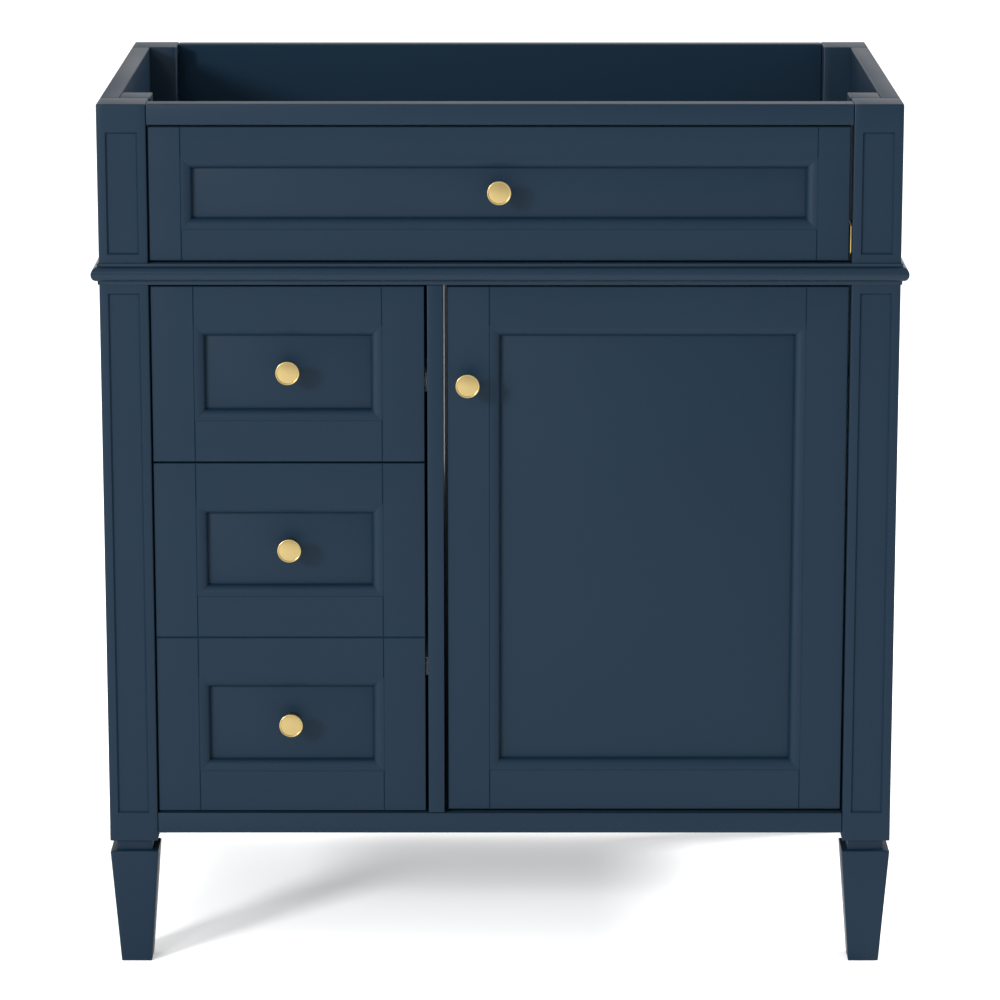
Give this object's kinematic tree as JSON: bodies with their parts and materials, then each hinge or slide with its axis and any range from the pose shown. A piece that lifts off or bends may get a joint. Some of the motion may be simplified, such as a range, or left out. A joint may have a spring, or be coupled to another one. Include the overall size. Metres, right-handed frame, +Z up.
{
  "type": "bathroom vanity cabinet",
  "caption": "Freestanding open-top bathroom vanity base with tip-out front, drawers, a hinged door, waist moulding and tapered feet.",
  "frame": {"origin": "on the floor, under the middle of the whole part", "axes": "+Z up, -Y out of the fronts, +Y to the wall, +X to the right as seen from the front"},
  "size_m": [0.7646, 0.4694, 0.838],
  "materials": {
    "navy_paint": "satin paint on wood",
    "knob_brass": "satin, lacquered",
    "hinge_brass": "plated",
    "hinge_steel": "zinc plated",
    "slide_enamel": "white enamel",
    "tray_plastic": "moulded",
    "drawer_birch": "clear lacquer"
  },
  "bodies": {
    "carcass": {"back_panel": "navy_paint", "back_rail_top": "navy_paint", "bottom_rail_front": "navy_paint", "corner_strip_left": "navy_paint", "corner_strip_right": "navy_paint", "door_hinge_arm_bottom": "hinge_steel", "door_hinge_arm_top": "hinge_steel", "drawer_bay_top": "navy_paint", "drawer_lower_channel_left": "slide_enamel", "drawer_lower_channel_right": "slide_enamel", "drawer_upper_channel_left": "slide_enamel", "drawer_upper_channel_right": "slide_enamel", "floor_panel": "navy_paint", "mullion": "navy_paint", "partition": "navy_paint", "post_front_left": "navy_paint", "post_front_right": "navy_paint", "post_rear_left": "navy_paint", "post_rear_right": "navy_paint", "side_panel_left": "navy_paint", "side_panel_right": "navy_paint", "slide_cleat": "navy_paint", "tip_out_plate_left": "hinge_brass", "tip_out_plate_right": "hinge_brass", "top_rail_front": "navy_paint", "waist_moulding_front": "navy_paint", "waist_moulding_left": "navy_paint", "waist_moulding_right": "navy_paint", "waist_rail_front": "navy_paint"},
    "tip_out": {"tip_out_bracket_left": "hinge_steel", "tip_out_bracket_right": "hinge_steel", "tip_out_frame": "navy_paint", "tip_out_knob": "knob_brass", "tip_out_panel": "navy_paint", "tip_out_tray": "tray_plastic"},
    "door": {"door_frame": "navy_paint", "door_hinge_cup_bottom": "hinge_steel", "door_hinge_cup_top": "hinge_steel", "door_knob": "knob_brass", "door_panel": "navy_paint"},
    "drawer_upper": {"drawer_upper_back": "drawer_birch", "drawer_upper_bottom": "drawer_birch", "drawer_upper_frame": "navy_paint", "drawer_upper_knob": "knob_brass", "drawer_upper_panel": "navy_paint", "drawer_upper_runner_left": "slide_enamel", "drawer_upper_runner_right": "slide_enamel", "drawer_upper_side_left": "drawer_birch", "drawer_upper_side_right": "drawer_birch"},
    "drawer_lower": {"drawer_lower_back": "drawer_birch", "drawer_lower_bottom": "drawer_birch", "drawer_lower_frame": "navy_paint", "drawer_lower_knob_low": "knob_brass", "drawer_lower_knob_top": "knob_brass", "drawer_lower_panel_low": "navy_paint", "drawer_lower_panel_top": "navy_paint", "drawer_lower_runner_left": "slide_enamel", "drawer_lower_runner_right": "slide_enamel", "drawer_lower_side_left": "drawer_birch", "drawer_lower_side_right": "drawer_birch"}
  },
  "joints": [
    {"name": "tip_out_hinge", "type": "hinge", "parent": "carcass", "child": "tip_out", "pos_m": [0, -0.21135, 0.6908], "axis": [1, 0, 0], "range_deg": [0, 45]},
    {"name": "door_hinge", "type": "hinge", "parent": "carcass", "child": "door", "pos_m": [0.3272, -0.21035, 0.4097], "axis": [0, 0, 1], "range_deg": [0, 100]},
    {"name": "drawer_upper_slide", "type": "slide", "parent": "carcass", "child": "drawer_upper", "axis": [0, -1, 0], "range_m": [0, 0.225]},
    {"name": "drawer_lower_slide", "type": "slide", "parent": "carcass", "child": "drawer_lower", "axis": [0, -1, 0], "range_m": [0, 0.225]}
  ]
}
